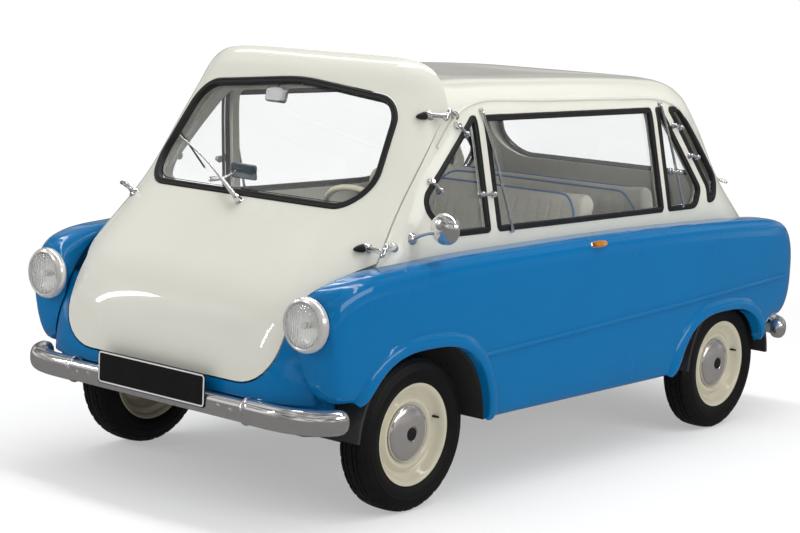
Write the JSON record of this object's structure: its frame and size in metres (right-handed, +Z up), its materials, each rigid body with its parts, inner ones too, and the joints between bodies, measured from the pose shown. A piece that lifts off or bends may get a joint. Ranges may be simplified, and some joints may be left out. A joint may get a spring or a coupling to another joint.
{
  "type": "bubble car",
  "caption": "Small cabin car with a hinged door at each end, benches back to back, a blue lower body, a cream upper and round side lamps.",
  "frame": {"origin": "on the ground under the middle of the car", "axes": "+X to the car's left, -Y to its front, +Z up"},
  "size_m": [1.4725, 2.864, 1.4114],
  "materials": {
    "cream_paint": "gloss",
    "blue_paint": "gloss",
    "window_rubber": "matt",
    "clear_glass": "clear",
    "chromed": "polished",
    "red_lens": "clear",
    "amber_lens": "clear",
    "black_plate": "gloss",
    "tyre_rubber": "matt",
    "underbody": "satin",
    "axle_steel": "satin",
    "engine_block": "cast",
    "bench_cloth": "woven",
    "bench_base": "satin",
    "ivory_plastic": "gloss"
  },
  "bodies": {
    "body": {"upper_body": "cream_paint", "side_rubbers": "window_rubber", "side_glass": "clear_glass", "side_panel_left": "blue_paint", "side_panel_right": "blue_paint", "aprons": "blue_paint", "floor_pan": "underbody", "headlamp_rings": "chromed", "headlamp_lenses": "clear_glass", "front_bumper": "chromed", "rear_bumper": "chromed", "number_plate": "black_plate", "tail_lamps": "red_lens", "side_markers": "amber_lens", "pillar_hinges": "chromed", "side_mirror": "chromed", "axle_beams": "axle_steel", "inner_arches": "underbody", "front_bench_cushion": "bench_cloth", "front_bench_back": "bench_cloth", "rear_bench_cushion": "bench_cloth", "rear_bench_back": "bench_cloth", "bench_bases": "bench_base", "engine": "engine_block", "steering_column": "axle_steel"},
    "front_door": {"front_door_shell": "cream_paint", "front_screen_rubber": "window_rubber", "front_screen_glass": "clear_glass", "front_door_fittings": "chromed", "wiper": "chromed"},
    "rear_door": {"rear_door_shell": "cream_paint", "rear_screen_rubber": "window_rubber", "rear_screen_glass": "clear_glass", "rear_door_fittings": "chromed"},
    "steering": {"steering_wheel": "ivory_plastic"},
    "left_knuckle": {"knuckle_left": "axle_steel"},
    "right_knuckle": {"knuckle_right": "axle_steel"},
    "front_left_wheel": {"tyre_front_left": "tyre_rubber", "wheel_front_left": "cream_paint"},
    "front_right_wheel": {"tyre_front_right": "tyre_rubber", "wheel_front_right": "cream_paint"},
    "rear_left_wheel": {"tyre_rear_left": "tyre_rubber", "wheel_rear_left": "cream_paint"},
    "rear_right_wheel": {"tyre_rear_right": "tyre_rubber", "wheel_rear_right": "cream_paint"}
  },
  "joints": [
    {"name": "front_door_hinge", "type": "hinge", "parent": "body", "child": "front_door", "pos_m": [0.652, -1.097, 0.843], "axis": [-0.1361, 0.6733, 0.7267], "range_deg": [0, 75]},
    {"name": "rear_door_hinge", "type": "hinge", "parent": "body", "child": "rear_door", "pos_m": [-0.652, 1.122, 0.843], "axis": [0.1361, -0.6733, 0.7267], "range_deg": [0, 75]},
    {"name": "steering_turn", "type": "hinge", "parent": "body", "child": "steering", "pos_m": [0.225, -0.64, 0.83], "axis": [0, 0.7498, 0.6616], "range_deg": [-420, 420]},
    {"name": "left_kingpin", "type": "hinge", "parent": "body", "child": "left_knuckle", "pos_m": [0.545, -0.91, 0.25], "axis": [0, 0, 1], "range_deg": [-30, 30]},
    {"name": "right_kingpin", "type": "hinge", "parent": "body", "child": "right_knuckle", "pos_m": [-0.545, -0.91, 0.25], "axis": [0, 0, 1], "range_deg": [-30, 30]},
    {"name": "front_left_spin", "type": "hinge", "parent": "left_knuckle", "child": "front_left_wheel", "pos_m": [0.6, -0.91, 0.25], "axis": [1, 0, 0], "continuous": true},
    {"name": "front_right_spin", "type": "hinge", "parent": "right_knuckle", "child": "front_right_wheel", "pos_m": [-0.6, -0.91, 0.25], "axis": [1, 0, 0], "continuous": true},
    {"name": "rear_left_spin", "type": "hinge", "parent": "body", "child": "rear_left_wheel", "pos_m": [0.6, 0.91, 0.25], "axis": [1, 0, 0], "continuous": true},
    {"name": "rear_right_spin", "type": "hinge", "parent": "body", "child": "rear_right_wheel", "pos_m": [-0.6, 0.91, 0.25], "axis": [1, 0, 0], "continuous": true}
  ],
  "couplings": [
    {"joint": "left_kingpin", "follows": "steering_turn", "ratio": 0.071429},
    {"joint": "right_kingpin", "follows": "steering_turn", "ratio": 0.071429}
  ]
}
